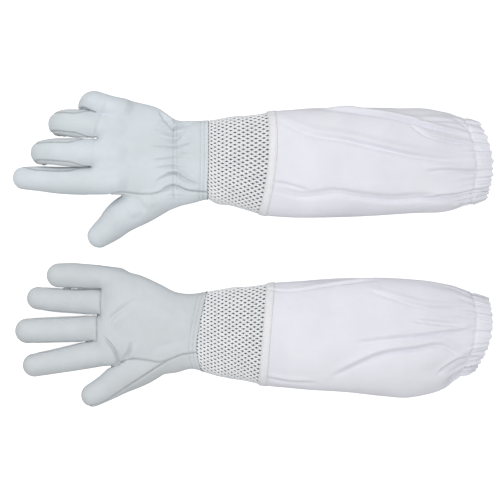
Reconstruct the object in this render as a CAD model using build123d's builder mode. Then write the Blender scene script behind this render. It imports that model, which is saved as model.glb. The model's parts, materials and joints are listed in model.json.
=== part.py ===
from build123d import *
import os
from math import cos, radians, sin

# A pair of beekeeping gloves: goatskin hands, three-layer mesh cuffs and canvas gauntlets.
# Millimetres, +Z up. The pair lies on a flat surface at z = 0 with the fingers towards -X.
# The right glove lies back up on the +Y side, the left glove palm up on the -Y side.

os.makedirs("parts", exist_ok=True)

# Walls and layers
leather = 1.2            # goatskin thickness
canvas = 0.6             # gauntlet cloth
net_face = 0.7           # outer and inner net of the ventilated mesh
net_core = 1.4           # open spacer between the two nets
band = 1.0               # hem band that covers the seam between mesh and canvas
elastic = 0.9            # elastic tape
layer_gap = 0.1          # between layers sewn together
body_gap = 0.3           # between pieces that move against each other

# Lengths along X, from the knuckles to the open end
wrist_x = -81.0          # line of the wrist elastic
palm_length = 84.0       # wrist elastic to the knuckles
cuff_length = 35.0       # wrist elastic to the end of the leather
mesh_length = 63.0
gauntlet_length = 233.0
facing_width = 9.0       # leather turned in at the cuff
elastic_width = 7.0
band_width = 12.0
casing_width = 11.0      # turned hem that holds the end elastic
gusset_width = 10.0      # side panel between palm and back, below the thumb
thumb_depth = 6.0        # how far the thumb opening reaches into the side of the hand
finger_depth = 6.0       # how far a finger opening reaches in from the knuckle line

front_x = wrist_x - palm_length
cuff_x = wrist_x + cuff_length
mesh_x = cuff_x + mesh_length
end_x = mesh_x + gauntlet_length
side_flat = 2.0          # height of the straight side of each flattened tube section
seam_half_angle = 25.0   # half of the arc that a fourchette takes of a finger's section


def along_palm(share):
    return front_x + share * palm_length


def along_gauntlet(share):
    return mesh_x + share * gauntlet_length


# Each glove: outline stations (x, low y, high y, bottom z, top z), the slant of the knuckle
# line and the five digits. A digit's arc turns its tip down towards the surface.
right = {
    "name": "right",
    "up": "back",
    "down": "front",
    "front_low": front_x + 1.5,
    "front_high": front_x + 16.5,
    "elastic_up": True,
    "stations": [
        (front_x, 57.5, 165.0, 19.9, 52.0),
        (along_palm(0.69), 48.0, 149.5, 10.3, 43.1),
        (wrist_x, 44.0, 135.5, 6.6, 38.6),
        (cuff_x, 51.2, 135.5, 0.0, 34.0),
        (cuff_x + 0.67 * mesh_length, 41.0, 140.7, 0.0, 40.0),
        (mesh_x, 34.7, 144.9, 0.0, 46.0),
        (along_gauntlet(0.21), 32.6, 147.0, 0.0, 54.0),
        (along_gauntlet(0.59), 35.7, 147.0, 0.0, 56.0),
        (along_gauntlet(0.81), 39.9, 141.8, 0.0, 50.0),
        (along_gauntlet(0.92), 48.3, 135.5, 0.0, 44.0),
        (end_x, 56.0, 129.0, 0.0, 38.0),
    ],
    "digits": {
        "index": {"base": (front_x - 0.5, 72.5, 33.5), "yaw": 1.5, "pitch": 15.2, "run": 76.0,
                  "bend": 0.0, "turn": 0.0, "last": 0.0, "radius": 13.1},
        "middle": {"base": (front_x + 3.5, 101.8, 37.0), "yaw": 1.2, "pitch": 0.0, "run": 41.0,
                   "bend": 18.0, "turn": 90.0, "last": 5.9, "radius": 12.9},
        "ring": {"base": (front_x + 7.5, 129.4, 37.8), "yaw": 1.5, "pitch": 0.0, "run": 25.0,
                 "bend": 16.0, "turn": 120.0, "last": 1.1, "radius": 12.6},
        "little": {"base": (front_x + 11.0, 154.2, 37.8), "yaw": 2.0, "pitch": 0.0, "run": 6.0,
                   "bend": 12.0, "turn": 125.0, "last": 8.8, "radius": 11.6},
    },
    "thumb": {"root": (wrist_x - 11.0, 58.3, 23.5), "root_radius": 20.0,
              "tip": (wrist_x - 79.7, 13.7, 12.8), "radius": 12.6},
}

left = {
    "name": "left",
    "up": "front",
    "down": "back",
    "front_low": front_x,
    "front_high": front_x + 4.0,
    "elastic_up": False,
    "stations": [
        (front_x - 1.0, -124.5, -18.3, 0.0, 34.0),
        (along_palm(0.69), -127.5, -31.5, 0.0, 35.0),
        (wrist_x, -130.0, -45.0, 0.0, 34.0),
        (cuff_x, -131.0, -44.5, 0.0, 34.0),
        (cuff_x + 0.67 * mesh_length, -138.6, -38.9, 0.0, 40.0),
        (mesh_x, -143.9, -35.7, 0.0, 46.0),
        (along_gauntlet(0.21), -147.0, -32.6, 0.0, 54.0),
        (along_gauntlet(0.59), -154.4, -31.5, 0.0, 56.0),
        (along_gauntlet(0.81), -147.0, -37.8, 0.0, 50.0),
        (along_gauntlet(0.92), -134.4, -47.3, 0.0, 44.0),
        (end_x, -126.0, -56.0, 0.0, 38.0),
    ],
    "digits": {
        "index": {"base": (front_x - 2.6, -111.0, 13.2), "yaw": -7.8, "pitch": 0.0, "run": 61.4,
                  "bend": 0.0, "turn": 0.0, "last": 0.0, "radius": 13.1},
        "middle": {"base": (front_x + 0.3, -83.2, 13.0), "yaw": -1.8, "pitch": 0.0, "run": 72.3,
                   "bend": 0.0, "turn": 0.0, "last": 0.0, "radius": 12.9},
        "ring": {"base": (front_x + 1.5, -55.7, 12.7), "yaw": 3.3, "pitch": 0.0, "run": 61.2,
                 "bend": 0.0, "turn": 0.0, "last": 0.0, "radius": 12.6},
        "little": {"base": (front_x + 2.5, -29.9, 11.7), "yaw": 3.6, "pitch": 0.0, "run": 42.2,
                   "bend": 0.0, "turn": 0.0, "last": 0.0, "radius": 11.6},
    },
    "thumb": {"root": (wrist_x - 15.0, -114.0, 18.0), "root_radius": 17.4,
              "tip": (wrist_x - 86.5, -153.3, 12.8), "radius": 12.6},
}


def station_at(glove, x):
    # The outline at any x, in line between its neighbours
    stations = glove["stations"]
    for near, far in zip(stations, stations[1:]):
        if x <= far[0]:
            break
    share = (x - near[0]) / (far[0] - near[0])
    return tuple(a + share * (b - a) for a, b in zip(near, far))


def stations_between(glove, start, stop):
    inner = [s for s in glove["stations"] if start + 0.01 < s[0] < stop - 0.01]
    return [station_at(glove, start)] + inner + [station_at(glove, stop)]


def outline_sections(glove, start, stop, inset):
    # Rounded sections across the glove at the outline's stations, drawn in by the inset
    sections = []
    for x, low, high, bottom, top in stations_between(glove, start, stop):
        centre = (x, (low + high) / 2, (bottom + top) / 2)
        width = high - low - 2 * inset
        height = top - bottom - 2 * inset
        with BuildSketch(Plane(origin=centre, x_dir=(0, 1, 0), z_dir=(1, 0, 0))) as section:
            RectangleRounded(width, height, (height - side_flat) / 2)
        sections.append(section.sketch.face())
    return sections


def sleeve_ring(glove, start, stop, outside, inside):
    # A tube wall between two insets of the outline
    with BuildPart() as ring:
        loft(sections=outline_sections(glove, start, stop, outside), ruled=True)
        loft(sections=outline_sections(glove, start, stop, inside), ruled=True,
             mode=Mode.SUBTRACT)
    return ring.part


def knuckle_plane(glove, offset=0.0):
    # Upright plane through the knuckle line, moved towards the palm by the offset
    near = station_at(glove, glove["front_low"])
    far = station_at(glove, glove["front_high"])
    run = Vector(glove["front_high"] - glove["front_low"], far[2] - near[1], 0).normalized()
    normal = Vector(run.Y, -run.X, 0)
    point = Vector(glove["front_low"], near[1], 0) + normal * offset
    return Plane(origin=point, x_dir=run, z_dir=normal)


def side_plane(glove, offset=0.0):
    # Upright plane along the thumb side of the palm, its normal towards the palm
    start = station_at(glove, front_x)
    stop = station_at(glove, wrist_x)
    run = Vector(stop[0] - start[0], stop[1] - start[1], 0).normalized()
    normal = Vector(-run.Y, run.X, 0)
    point = Vector(start[0], start[1], 0) + normal * offset
    return Plane(origin=point, x_dir=run, z_dir=normal)


def middle_plane(glove):
    # Plane halfway between the top and the bottom of the hand
    start = station_at(glove, front_x)
    stop = station_at(glove, cuff_x)
    run = Vector(stop[0] - start[0], 0, (stop[3] + stop[4] - start[3] - start[4]) / 2)
    point = (start[0], 0, (start[3] + start[4]) / 2)
    normal = Vector(-run.Z, 0, run.X).normalized()
    return Plane(origin=point, x_dir=run.normalized(), z_dir=normal)


def digit_frame(digit):
    # Heading in plan, side vector and the pitched direction in which the digit leaves the knuckle
    yaw = radians(180 - digit["yaw"])
    pitch = radians(digit["pitch"])
    heading = Vector(cos(yaw), sin(yaw), 0)
    side = Vector(0, 0, 1).cross(heading)
    leave = heading * cos(pitch) - Vector(0, 0, 1) * sin(pitch)
    return heading, side, leave


def digit_end(digit):
    # Centre of the domed tip and the direction in which it points
    heading, side, leave = digit_frame(digit)
    turn = radians(digit["turn"])
    upward = side.cross(leave) * -1
    bend_in = digit["bend"] * sin(turn)
    bend_down = digit["bend"] * (1 - cos(turn))
    point = Vector(*digit["base"]) + leave * (digit["run"] + bend_in) - upward * bend_down
    towards = leave * cos(turn) - upward * sin(turn)
    return point + towards * digit["last"], towards


def digit_panel(digit, start, stop):
    # One panel of a finger: an arc of its wall swept along the finger and closed over the tip
    heading, side, leave = digit_frame(digit)
    tip, towards = digit_end(digit)
    radius = digit["radius"]
    inner = radius - leather
    base = Plane(origin=digit["base"], x_dir=side, z_dir=leave)
    end = Plane(origin=tip, x_dir=side, z_dir=towards)
    with BuildPart() as dome:
        with BuildSketch(end):
            with BuildLine():
                arc = CenterArc((0, 0), radius * 1.2, start, stop - start)
                Polyline(arc @ 1, (0, 0), arc @ 0)
            make_face()
        extrude(amount=radius * 1.2)
        with Locations(tip):
            Sphere(radius, mode=Mode.INTERSECT)
            Sphere(inner, mode=Mode.SUBTRACT)
    with BuildPart() as panel:
        with BuildLine(Plane(origin=digit["base"], x_dir=leave, z_dir=side * -1)):
            Line((0, 0), (digit["run"], 0))
            if digit["turn"]:
                curl = JernArc((digit["run"], 0), (1, 0), digit["bend"], -digit["turn"])
                Line(curl @ 1, curl @ 1 + (curl % 1) * digit["last"])
        with BuildSketch(base):
            with BuildLine():
                outer_arc = CenterArc((0, 0), radius, start, stop - start)
                inner_arc = CenterArc((0, 0), inner, start, stop - start)
                Line(outer_arc @ 0, inner_arc @ 0)
                Line(outer_arc @ 1, inner_arc @ 1)
            make_face()
        sweep()
        add(dome.part)
    return panel.part


def thumb_solid(thumb, inset):
    # The full thumb as a cone with a domed tip, its root well inside the palm
    root = Vector(*thumb["root"])
    tip = Vector(*thumb["tip"])
    towards = (tip - root).normalized()
    with BuildPart() as cone:
        with BuildSketch(Plane(origin=root, z_dir=towards)):
            Circle(thumb["root_radius"] - inset)
        with BuildSketch(Plane(origin=tip, z_dir=towards)):
            Circle(thumb["radius"] - inset)
        loft()
        with Locations(tip):
            Sphere(thumb["radius"] - inset)
    return cone.part


def thumb_half(glove, keep):
    # Upper or lower half of the thumb's wall, cut to the side of the palm
    thumb = glove["thumb"]
    root = Vector(*thumb["root"])
    towards = (Vector(*thumb["tip"]) - root).normalized()
    level = Vector(0, 0, 1).cross(towards).normalized()
    with BuildPart() as half:
        add(thumb_solid(thumb, 0))
        add(thumb_solid(thumb, leather), mode=Mode.SUBTRACT)
        split(bisect_by=side_plane(glove, -body_gap), keep=Keep.BOTTOM)
        split(bisect_by=Plane(origin=root, x_dir=towards, z_dir=towards.cross(level)), keep=keep)
    return half.part


def hand_shell(glove):
    # The whole leather hand, with round openings for the fingers and one for the thumb
    with BuildPart() as cavity:
        loft(sections=outline_sections(glove, glove["stations"][0][0], cuff_x, leather), ruled=True)
        split(bisect_by=knuckle_plane(glove, leather), keep=Keep.TOP)
    with BuildPart() as thumb_way:
        add(thumb_solid(glove["thumb"], leather))
        split(bisect_by=side_plane(glove, thumb_depth), keep=Keep.BOTTOM)
    with BuildPart() as hand:
        loft(sections=outline_sections(glove, glove["stations"][0][0], cuff_x, 0), ruled=True)
        split(bisect_by=knuckle_plane(glove), keep=Keep.TOP)
        add(cavity.part, mode=Mode.SUBTRACT)
        for digit in glove["digits"].values():
            heading, side, leave = digit_frame(digit)
            inside = Vector(*digit["base"]) - leave * finger_depth
            with BuildSketch(Plane(origin=inside, x_dir=side, z_dir=leave)):
                Circle(digit["radius"] - leather)
            extrude(amount=2 * finger_depth, mode=Mode.SUBTRACT)
        add(thumb_way.part, mode=Mode.SUBTRACT)
    return hand.part


def hand_panel(glove, shell, keep):
    # Back or palm: half of the shell, less the side gusset
    with BuildPart() as panel:
        add(shell)
        split(bisect_by=side_plane(glove, gusset_width), keep=Keep.TOP)
        split(bisect_by=middle_plane(glove), keep=keep)
    return panel.part


def write(piece, name):
    piece.label = name
    export_step(piece, f"parts/{name}.step")
    print(f"{name}: {len(piece.solids())} solid(s), {piece.volume:.0f} mm3")


def make_fingers(glove):
    for name, digit in glove["digits"].items():
        inner_side = name != "index"       # a neighbour towards the thumb
        outer_side = name != "little"      # a neighbour away from the thumb
        upper_start = seam_half_angle if inner_side else 0
        upper_stop = 180 - seam_half_angle if outer_side else 180
        lower_start = 180 + seam_half_angle if outer_side else 180
        lower_stop = 360 - seam_half_angle if inner_side else 360
        write(digit_panel(digit, upper_start, upper_stop), f"{glove['name']}_{name}_{glove['up']}")
        write(digit_panel(digit, lower_start, lower_stop), f"{glove['name']}_{name}_{glove['down']}")
        with BuildPart() as fourchettes:
            if inner_side:
                add(digit_panel(digit, -seam_half_angle, seam_half_angle))
            if outer_side:
                add(digit_panel(digit, 180 - seam_half_angle, 180 + seam_half_angle))
        write(fourchettes.part, f"{glove['name']}_{name}_fourchette")


def make_thumb(glove):
    write(thumb_half(glove, Keep.TOP), f"{glove['name']}_thumb_{glove['up']}")
    write(thumb_half(glove, Keep.BOTTOM), f"{glove['name']}_thumb_{glove['down']}")


def make_hand(glove):
    name = glove["name"]
    shell = hand_shell(glove)
    upper = hand_panel(glove, shell, Keep.TOP)
    lower = hand_panel(glove, shell, Keep.BOTTOM)
    back, palm = (upper, lower) if glove["up"] == "back" else (lower, upper)
    write(back, f"{name}_back_panel")
    write(palm, f"{name}_palm_panel")
    with BuildPart() as gusset:
        add(shell)
        split(bisect_by=side_plane(glove, gusset_width), keep=Keep.BOTTOM)
    write(gusset.part, f"{name}_thumb_gusset")
    facing = sleeve_ring(glove, cuff_x - facing_width, cuff_x, leather + layer_gap, 2 * leather)
    write(facing, f"{name}_cuff_facing")

    # Elastic tape sewn across the inside of the back at the wrist
    x, low, high, bottom, top = station_at(glove, wrist_x)
    slant = middle_plane(glove)
    under_leather = leather + layer_gap
    height = top - under_leather - elastic if glove["elastic_up"] else bottom + under_leather
    flat_width = high - low - (top - bottom)
    place = Plane(origin=(x, (low + high) / 2, height), x_dir=slant.x_dir, z_dir=slant.z_dir)
    with BuildPart() as tape:
        with BuildSketch(place):
            Rectangle(elastic_width, flat_width)
        extrude(amount=elastic)
    write(tape.part, f"{name}_wrist_elastic")


def make_sleeve(glove):
    name = glove["name"]
    mesh_start = cuff_x + body_gap
    outer_net = band
    core = outer_net + net_face + layer_gap
    inner_net = core + net_core + layer_gap
    write(sleeve_ring(glove, mesh_start, mesh_x, outer_net, outer_net + net_face),
          f"{name}_mesh_outer")
    write(sleeve_ring(glove, mesh_start, mesh_x, core, core + net_core), f"{name}_mesh_spacer")
    write(sleeve_ring(glove, mesh_start, mesh_x, inner_net, inner_net + net_face),
          f"{name}_mesh_inner")
    write(sleeve_ring(glove, mesh_x, end_x, band, band + canvas), f"{name}_canvas_sleeve")
    write(sleeve_ring(glove, mesh_x - band_width / 4, mesh_x + 3 * band_width / 4, 0, band),
          f"{name}_mesh_seam_band")

    # The canvas is turned in at the end and holds the elastic in a closed tunnel
    tunnel = band + 2 * canvas
    lining = tunnel + elastic + 2 * layer_gap
    tunnel_start = end_x - casing_width + canvas
    tunnel_ring = sleeve_ring(glove, tunnel_start, end_x - canvas, tunnel, lining)
    with BuildPart() as casing:
        add(sleeve_ring(glove, end_x - casing_width, end_x, band + canvas, lining + canvas))
        add(tunnel_ring, mode=Mode.SUBTRACT)
    write(casing.part, f"{name}_end_casing")
    tape_start = end_x - casing_width / 2 - elastic_width / 2
    write(sleeve_ring(glove, tape_start, tape_start + elastic_width, tunnel + layer_gap,
                      tunnel + layer_gap + elastic), f"{name}_end_elastic")


for glove in (right, left):
    make_fingers(glove)
    make_thumb(glove)
    make_hand(glove)
    make_sleeve(glove)
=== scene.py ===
import json
from math import cos, pi, radians, sin

import bpy
import numpy as np
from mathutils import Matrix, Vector
from mathutils.bvhtree import BVHTree
from mathutils.kdtree import KDTree


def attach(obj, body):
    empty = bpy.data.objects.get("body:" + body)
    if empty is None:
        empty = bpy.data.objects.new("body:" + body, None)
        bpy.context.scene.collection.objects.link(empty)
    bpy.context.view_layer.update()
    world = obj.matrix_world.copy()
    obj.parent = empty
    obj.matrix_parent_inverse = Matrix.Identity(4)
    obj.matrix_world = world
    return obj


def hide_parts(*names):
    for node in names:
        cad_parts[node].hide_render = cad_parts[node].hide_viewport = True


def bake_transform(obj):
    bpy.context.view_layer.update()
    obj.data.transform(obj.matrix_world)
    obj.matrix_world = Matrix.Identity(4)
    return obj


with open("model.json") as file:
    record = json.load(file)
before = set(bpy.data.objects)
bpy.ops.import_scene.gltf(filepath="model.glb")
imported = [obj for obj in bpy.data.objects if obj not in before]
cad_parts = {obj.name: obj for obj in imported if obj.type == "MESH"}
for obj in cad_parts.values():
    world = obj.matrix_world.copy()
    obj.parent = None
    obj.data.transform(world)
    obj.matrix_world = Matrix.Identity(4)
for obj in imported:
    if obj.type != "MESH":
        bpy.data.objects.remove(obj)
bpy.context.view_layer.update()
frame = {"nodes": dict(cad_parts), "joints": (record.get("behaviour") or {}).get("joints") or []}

mm = 0.001
print("frame loaded:", len(frame["nodes"]), "nodes")

# Each glove is drawn in millimetres from its own wrist hinge: x from the cuff towards the open
# end, y towards the little finger, z up from the table. place() takes it into the frame.
wrists = {}
for joint in frame["joints"]:
    if joint["name"].endswith("_wrist"):
        wrists[joint["name"].split("_")[0]] = np.array([joint["pos_m"][0], joint["pos_m"][1], 0.0])


def place(side, points):
    return np.asarray(points, float) * mm + wrists[side]


# Smooth runs through a few given points.

def along(stations, x):
    # every value after the first, at any x, on a smooth curve through the stations
    s = np.asarray(stations, float)
    knots, values = s[:, 0], s[:, 1:]
    slopes = np.gradient(values, knots, axis=0)
    x = np.clip(np.asarray(x, float), knots[0], knots[-1])
    i = np.clip(np.searchsorted(knots, x) - 1, 0, len(knots) - 2)
    h = (knots[i + 1] - knots[i])[:, None]
    f = ((x - knots[i]) / h[:, 0])[:, None]
    a, b = values[i], values[i + 1]
    ma, mb = slopes[i] * h, slopes[i + 1] * h
    return ((2 * f**3 - 3 * f**2 + 1) * a + (f**3 - 2 * f**2 + f) * ma
            + (3 * f**2 - 2 * f**3) * b + (f**3 - f**2) * mb)


def through(points, count):
    # evenly numbered samples on a smooth curve through the points
    p = np.asarray(points, float)
    u = np.linspace(0, len(p) - 1, count)
    i = np.minimum(u.astype(int), len(p) - 2)
    f = (u - i)[:, None]
    before, a = p[np.maximum(i - 1, 0)], p[i]
    b, after = p[i + 1], p[np.minimum(i + 2, len(p) - 1)]
    return 0.5 * (2 * a + (b - before) * f + (2 * before - 5 * a + 4 * b - after) * f**2
                  + (3 * a - before - 3 * b + after) * f**3)


def unit(v):
    return v / np.maximum(np.linalg.norm(v, axis=-1, keepdims=True), 1e-9)


def ease(a, b, x):
    t = np.clip((x - a) / (b - a), 0, 1)
    return t * t * (3 - 2 * t)


def smoothMin(a, b, k):
    h = np.maximum(k - np.abs(a - b), 0) / k
    return np.minimum(a, b) - h * h * k / 4


fingerNames = ("index", "middle", "ring", "little")

hands = {
    "right": {
        "up": "back",
        # x, low y, high y, bottom, top
        "palm": [(-125, -36, 61, 20.5, 52), (-94, -35.5, 63.5, 16, 48.5), (-72, -42, 59.5, 12, 45),
                 (-51, -49.5, 53.5, 9, 41.5), (-34, -49, 42, 6.5, 38.5), (-17, -45.5, 41, 3, 36),
                 (0, -41.5, 42, 0, 34), (8, -42, 42.5, 0, 34)],
        "thumbWeb": 5.0,              # how softly the thumb runs into the palm
        # y, how far back on the upper side the leather ends at the cuff
        "cuff": [(-60, 1.5), (-40, 1.2), (-10, 0), (60, 0)],
        # y, x of the front edge of the palm, between the fingers
        "front": [(-50, -98), (-34, -112), (-6, -119), (23, -112), (51, -106), (70, -98)],
        # x, y, z, radius along the middle of each finger
        "index": [(-96, -22.2, 35, 13.8), (-118, -22.2, 33, 14.4), (-137, -22, 29, 14.5),
                  (-156, -21.3, 24, 14), (-176, -19.6, 18, 13), (-194, -18.6, 13, 11.9)],
        "middle": [(-95, 7, 36, 14), (-117, 7.2, 37, 14.5), (-143, 7.2, 38, 14.7),
                   (-160, 8.2, 35, 13.8), (-172.5, 8, 27, 12.4), (-174.5, 6.8, 14, 12)],
        "ring": [(-95, 34, 36, 13), (-117, 36.1, 37, 13.8), (-137, 37.4, 38, 14.7),
                 (-149, 38.4, 33.5, 13.8), (-155, 37.4, 24, 12.6), (-152, 36.8, 13.5, 11.8)],
        "little": [(-90, 52.5, 36.5, 11.2), (-101, 55.2, 37.8, 11.2), (-112, 58.2, 37.6, 11.4),
                   (-120.5, 60.6, 32, 11.2), (-125, 56.5, 21, 11.4), (-124.5, 53, 12.5, 11)],
        "thumb": [(-114.8, -79.6, 12.8, 12.5), (-102.5, -70, 15, 15.3), (-90, -58.6, 18, 18),
                  (-68, -46.5, 21, 19.4), (-45, -35, 22, 17.6)],
        "base": {"index": -124, "middle": -123.5, "ring": -117, "little": -111.5},
    },
    "left": {
        "up": "front",
        "palm": [(-125, -36.5, 68, 0, 33), (-110, -37, 67.6, 0, 34), (-101, -34.5, 66.6, 0, 34.6),
                 (-93, -31, 65, 0, 35), (-72, -39, 60.3, 0, 35.5), (-51, -43.5, 51, 0, 35),
                 (-34, -42.3, 42.5, 0, 34), (-17, -38.3, 40.7, 0, 33.5), (0, -43, 43.5, 0, 34),
                 (8, -44.5, 44.7, 0, 34.5)],
        "thumbWeb": 1.6,
        "cuff": [(-60, 3), (-46, 5), (-38, 8), (-18, 12), (9, 9.2), (40, 2.5), (60, 0)],
        "front": [(-50, -98), (-34, -112), (-9, -121), (18, -114), (45.5, -111.5), (70, -104)],
        "index": [(-95, -17, 15, 14), (-114, -21.5, 14.4, 14.3), (-138, -26, 14, 13.9),
                  (-161, -30.4, 13, 13), (-183.3, -34.6, 12.2, 12.1)],
        "middle": [(-95, 5, 15, 13.6), (-118, 4.3, 14.2, 13.6), (-143, 3.4, 14, 13.6),
                   (-167, 2.6, 13.7, 13.5), (-190.3, 1.7, 13.1, 13)],
        "ring": [(-95, 31, 14.5, 13.2), (-117, 31.8, 13.8, 13.4), (-138, 32.8, 13.2, 13),
                 (-160, 34, 12.8, 12.6), (-179.2, 36, 12, 11.9)],
        "little": [(-95, 56, 13.5, 12.2), (-117, 58.3, 13, 12.6), (-131, 59, 13.4, 13.1),
                   (-143, 59.6, 13.4, 13.4), (-157.7, 60.1, 12.6, 12.5)],
        "thumb": [(-121.5, -66, 12.8, 12.4), (-107, -58, 13.6, 14), (-92, -48.5, 15, 16.2),
                  (-70, -38, 16.5, 17.4), (-48, -27, 17, 15)],
        "base": {"index": -124, "middle": -116.8, "ring": -113, "little": -114},
    },
}

skin = {
    "step": 1.0,          # grid of the surface, mm
    "low": (-214.0, -98.0, -4.0),
    "high": (8.0, 80.0, 60.0),
    "spineSteps": 22,
    "reach": 14.0,        # how far from a finger its skin is worked out
    "palmEnd": 16.0,      # soft edge of the palm between the fingers
    "power": 2.7,         # how square the palm's section is
    "web": 4.0,           # soft corner where a finger leaves the palm
    "baseNarrow": 22.0,   # length over which a fourchette comes to its point at the knuckle
    "leather": 1.0,
    "tape": 0.9,
    "tapeInset": 1.1,
    "backAngle": 44,      # half of the arc of a finger's back piece, degrees
    "frontAngle": 112,
    "openAngle": 100,     # where back and front meet on a side without a neighbour
}


def chainField(spine, p):
    # distance to a round chain, with the nearest place on it
    best = np.full(len(p), 1e3)
    where = np.zeros(len(p))
    for n, (a, b) in enumerate(zip(spine[:-1], spine[1:])):
        ab = b[:3] - a[:3]
        t = np.clip((p - a[:3]) @ ab / (ab @ ab), 0, 1)
        d = np.linalg.norm(p - a[:3] - t[:, None] * ab, axis=1) - (a[3] + t * (b[3] - a[3]))
        closer = d < best
        best[closer] = d[closer]
        where[closer] = n + t[closer]
    return best, where


def fingerField(spine, p):
    # distance to one finger, worked out only beside it
    reach = skin["reach"]
    low = (spine[:, :3] - spine[:, 3:]).min(0) - reach
    high = (spine[:, :3] + spine[:, 3:]).max(0) + reach
    near = ((p > low) & (p < high)).all(1)
    out = np.full(len(p), reach)
    out[near] = chainField(spine, p[near])[0]
    return out


def palmField(hand, p):
    near = p[:, 0] > -135
    if not near.all():
        far = np.full(len(p), 30.0)
        far[near] = palmField(hand, p[near])
        return far
    s = along(hand["palm"], p[:, 0])
    wide, tall = (s[:, 1] - s[:, 0]) / 2, (s[:, 3] - s[:, 2]) / 2
    u = np.abs(p[:, 1] - (s[:, 0] + s[:, 1]) / 2) / wide + 1e-6
    v = np.abs(p[:, 2] - (s[:, 2] + s[:, 3]) / 2) / tall + 1e-6
    n = skin["power"]
    rho = (u**n + v**n) ** (1 / n)
    slope = rho ** (1 - n) * np.sqrt((u ** (n - 1) / wide) ** 2 + (v ** (n - 1) / tall) ** 2)
    d = np.clip((rho - 1) / slope, -20, 60)
    beyond = along(hand["front"], p[:, 1])[:, 0] - p[:, 0]
    return -smoothMin(-d, -beyond, skin["palmEnd"])


def handField(hand, p):
    fingers = np.full(len(p), skin["reach"])
    for name in fingerNames:
        fingers = np.minimum(fingers, fingerField(hand["spines"][name], p))
    d = smoothMin(palmField(hand, p), fingers, skin["web"])
    return smoothMin(d, fingerField(hand["spines"]["thumb"], p), hand["thumbWeb"])


def summed(index, values, count):
    # the values added up at each number of the index
    return np.stack([np.bincount(index, column, minlength=count) for column in values.T], 1)


def netOf(field, low, step):
    # one point in each cell that the surface crosses, one face for each grid edge it crosses
    cells = np.array(field.shape) - 1
    total = np.zeros((cells.prod(), 3))
    count = np.zeros(cells.prod())
    quads = []
    for axis in range(3):
        u, v = (axis + 1) % 3, (axis + 2) % 3
        first = np.moveaxis(field, axis, 0)[:-1]
        second = np.moveaxis(field, axis, 0)[1:]
        crossed = (first < 0) != (second < 0)
        share = (first / np.where(first == second, 1, first - second))[crossed]
        spot = np.argwhere(crossed)
        order = [axis] + [k for k in range(3) if k != axis]
        corner = np.empty_like(spot)
        for column, real in enumerate(order):
            corner[:, real] = spot[:, column]
        point = corner.astype(float)
        point[:, axis] += share
        across = corner[:, [u, v]]
        inner = ((across > 0) & (across < cells[[u, v]])).all(1)
        corner, point, outward = corner[inner], point[inner], (first[crossed] < 0)[inner]
        corners = []
        for du, dv in ((0, 0), (1, 0), (1, 1), (0, 1)):
            cell = corner.copy()
            cell[:, u] -= du
            cell[:, v] -= dv
            flat = np.ravel_multi_index(cell.T, cells)
            corners.append(flat)
            count += np.bincount(flat, minlength=len(count))
            total += summed(flat, point, len(count))
        quad = np.array(corners).T
        quad[~outward] = quad[~outward][:, ::-1]
        quads.append(quad)
    quads = np.concatenate(quads)
    used, faces = np.unique(quads, return_inverse=True)
    points = total[used] / count[used][:, None] * step + low
    return points, faces.reshape(-1, 4)


def settle(points, fieldOf, rounds=3):
    # moves points onto the surface
    for _ in range(rounds):
        value = fieldOf(points)
        slope = np.stack([fieldOf(points + 0.2 * np.eye(3)[k]) - value for k in range(3)], 1) / 0.2
        points = points - slope * np.clip(value / np.maximum((slope**2).sum(1), 0.2), -1, 1)[:, None]
    return points


def trianglesOf(points, quads):
    a, b, c, d = quads.T
    first = np.linalg.norm(points[a] - points[c], axis=1) < np.linalg.norm(points[b] - points[d], axis=1)
    first = first[:, None]
    one = np.where(first, np.stack([a, b, c], 1), np.stack([a, b, d], 1))
    two = np.where(first, np.stack([a, c, d], 1), np.stack([b, c, d], 1))
    return np.concatenate([one, two])


def pointNormals(points, faces):
    n = np.cross(points[faces[:, 1]] - points[faces[:, 0]], points[faces[:, 2]] - points[faces[:, 0]])
    return unit(sum(summed(column, n, len(points)) for column in faces.T))


def relax(points, faces, rounds, strength=0.5):
    for _ in range(rounds):
        total = np.zeros_like(points)
        count = np.zeros(len(points))
        for a, b in ((0, 1), (1, 2), (2, 0)):
            for one, two in ((a, b), (b, a)):
                count += np.bincount(faces[:, one], minlength=len(points))
                total += summed(faces[:, one], points[faces[:, two]], len(points))
        points = points + strength * (total / np.maximum(count, 1)[:, None] - points) * (count > 0)[:, None]
    return points


def cutAlong(points, faces, labels, field, active):
    # splits the active triangles where the field changes sign, and every face beside a cut edge
    n = len(points)
    ends = np.stack([faces, np.roll(faces, -1, axis=1)], 2)
    key = (ends.min(2) * n + ends.max(2)).ravel()
    edges, back = np.unique(key, return_inverse=True)
    back = back.reshape(-1, 3)
    low, high = edges // n, edges % n
    wanted = np.zeros(len(edges), bool)
    wanted[back[active].ravel()] = True
    cut = wanted & ((field[low] > 0) != (field[high] > 0))
    share = field[low[cut]] / (field[low[cut]] - field[high[cut]])
    share = np.clip(share, 0.03, 0.97)[:, None]
    added = points[low[cut]] + share * (points[high[cut]] - points[low[cut]])
    number = np.full(len(edges), -1)
    number[cut] = n + np.arange(cut.sum())
    middle = number[back]
    count = (middle >= 0).sum(1)
    out, outLabels = [faces[count == 0]], [labels[count == 0]]
    for k in range(3):
        order = [k, (k + 1) % 3, (k + 2) % 3]
        one = (count == 1) & (middle[:, k] >= 0)
        a, b, c = faces[one][:, order].T
        m = middle[one, k]
        out += [np.stack([a, m, c], 1), np.stack([m, b, c], 1)]
        outLabels += [labels[one]] * 2
        two = (count == 2) & (middle[:, order[2]] < 0)
        a, b, c = faces[two][:, order].T
        m, q = middle[two][:, order[0]], middle[two][:, order[1]]
        out += [np.stack([m, b, q], 1), np.stack([a, m, q], 1), np.stack([a, q, c], 1)]
        outLabels += [labels[two]] * 3
    return np.concatenate([points, added]), np.concatenate(out), np.concatenate(outLabels)


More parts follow.
